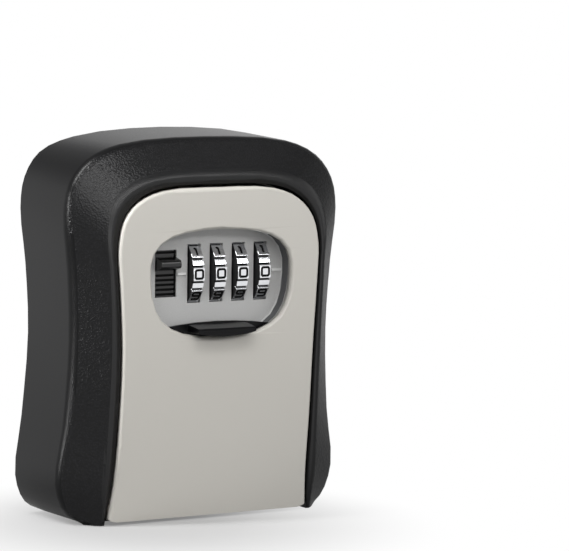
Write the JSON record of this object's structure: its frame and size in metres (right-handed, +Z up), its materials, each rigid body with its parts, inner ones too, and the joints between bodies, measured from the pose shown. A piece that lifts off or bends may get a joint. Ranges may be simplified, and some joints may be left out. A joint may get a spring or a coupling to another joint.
{
  "type": "combination key lock box",
  "caption": "Wall-mounted key lock box: black surround, cream drop-down door with number dials, an opening slider and a sliding weather shutter.",
  "frame": {"origin": "centre of the bottom of the bounding box, at rest with the door closed", "axes": "+Z up along the box's height, +Y towards the wall, the door faces -Y, +X to the right of someone facing the door"},
  "size_m": [0.096, 0.0428, 0.114],
  "materials": {
    "back_tray": "satin paint",
    "outer_surround": "fine grained",
    "surround_screw_1": "bright plate",
    "surround_screw_2": "bright plate",
    "surround_screw_3": "bright plate",
    "surround_screw_4": "bright plate",
    "hinge_pin_left": "bright plate",
    "hinge_pin_right": "bright plate",
    "door_panel": "satin paint",
    "lock_case": "fine silver paint",
    "case_cover": "as die-cast",
    "shutter_track": "as die-cast",
    "dial_spindle": "spring wire and sheet",
    "latch_pin": "polished plate",
    "latch_spring": "spring wire and sheet",
    "detent_spring": "spring wire and sheet",
    "return_spring": "spring wire and sheet",
    "ear_screw_1": "bright plate",
    "ear_screw_2": "bright plate",
    "foot_screw_1": "bright plate",
    "foot_screw_2": "bright plate",
    "cover_screw_1": "bright plate",
    "cover_screw_2": "bright plate",
    "cover_screw_3": "bright plate",
    "cover_screw_4": "bright plate",
    "track_screw_1": "bright plate",
    "track_screw_2": "bright plate",
    "weather_shutter": "fine grained",
    "open_slider": "glossy black",
    "slider_carriage": "as die-cast",
    "locking_bar": "spring wire and sheet",
    "latch_rocker": "bright plate",
    "reset_lever": "bright plate",
    "dial_wheel_1": "polished plate",
    "code_sleeve_1": "as die-cast",
    "dial_wheel_2": "polished plate",
    "code_sleeve_2": "as die-cast",
    "dial_wheel_3": "polished plate",
    "code_sleeve_3": "as die-cast",
    "dial_wheel_4": "polished plate",
    "code_sleeve_4": "as die-cast"
  },
  "bodies": {
    "case": {"back_tray": "back_tray", "outer_surround": "outer_surround", "surround_screw_1": "surround_screw_1", "surround_screw_2": "surround_screw_2", "surround_screw_3": "surround_screw_3", "surround_screw_4": "surround_screw_4", "hinge_pin_left": "hinge_pin_left", "hinge_pin_right": "hinge_pin_right"},
    "door": {"door_panel": "door_panel", "lock_case": "lock_case", "case_cover": "case_cover", "shutter_track": "shutter_track", "dial_spindle": "dial_spindle", "latch_pin": "latch_pin", "latch_spring": "latch_spring", "detent_spring": "detent_spring", "return_spring": "return_spring", "ear_screw_1": "ear_screw_1", "ear_screw_2": "ear_screw_2", "foot_screw_1": "foot_screw_1", "foot_screw_2": "foot_screw_2", "cover_screw_1": "cover_screw_1", "cover_screw_2": "cover_screw_2", "cover_screw_3": "cover_screw_3", "cover_screw_4": "cover_screw_4", "track_screw_1": "track_screw_1", "track_screw_2": "track_screw_2"},
    "shutter": {"weather_shutter": "weather_shutter"},
    "slider": {"open_slider": "open_slider", "slider_carriage": "slider_carriage", "locking_bar": "locking_bar"},
    "rocker": {"latch_rocker": "latch_rocker"},
    "reset": {"reset_lever": "reset_lever"},
    "dial_1": {"dial_wheel_1": "dial_wheel_1", "code_sleeve_1": "code_sleeve_1"},
    "dial_2": {"dial_wheel_2": "dial_wheel_2", "code_sleeve_2": "code_sleeve_2"},
    "dial_3": {"dial_wheel_3": "dial_wheel_3", "code_sleeve_3": "code_sleeve_3"},
    "dial_4": {"dial_wheel_4": "dial_wheel_4", "code_sleeve_4": "code_sleeve_4"}
  },
  "joints": [
    {"name": "door_hinge", "type": "hinge", "parent": "case", "child": "door", "pos_m": [0, -0.008, 0.005], "axis": [1, 0, 0], "range_deg": [0, 90]},
    {"name": "shutter_slide", "type": "slide", "parent": "door", "child": "shutter", "axis": [0, -0.033, 0.9995], "range_m": [0, 0.027]},
    {"name": "slider_slide", "type": "slide", "parent": "door", "child": "slider", "axis": [0, 0, -1], "range_m": [0, 0.004], "stiffness_N_per_m": 250, "springref_m": -0.006, "deforming": ["return_spring"]},
    {"name": "rocker_hinge", "type": "hinge", "parent": "door", "child": "rocker", "pos_m": [0, 0.0061, 0.0923], "axis": [1, 0, 0], "range_deg": [0, 10.2]},
    {"name": "reset_slide", "type": "slide", "parent": "door", "child": "reset", "axis": [-1, 0, 0], "range_m": [0, 0.0015]},
    {"name": "dial_1_spin", "type": "hinge", "parent": "door", "child": "dial_1", "pos_m": [-0.00535, -0.0024, 0.0728], "axis": [1, 0, 0], "continuous": true},
    {"name": "dial_2_spin", "type": "hinge", "parent": "door", "child": "dial_2", "pos_m": [0.0021, -0.0024, 0.0728], "axis": [1, 0, 0], "continuous": true},
    {"name": "dial_3_spin", "type": "hinge", "parent": "door", "child": "dial_3", "pos_m": [0.00955, -0.0024, 0.0728], "axis": [1, 0, 0], "continuous": true},
    {"name": "dial_4_spin", "type": "hinge", "parent": "door", "child": "dial_4", "pos_m": [0.017, -0.0024, 0.0728], "axis": [1, 0, 0], "continuous": true}
  ],
  "couplings": [
    {"joint": "rocker_hinge", "follows": "slider_slide", "rad_per_m": 43.6}
  ]
}
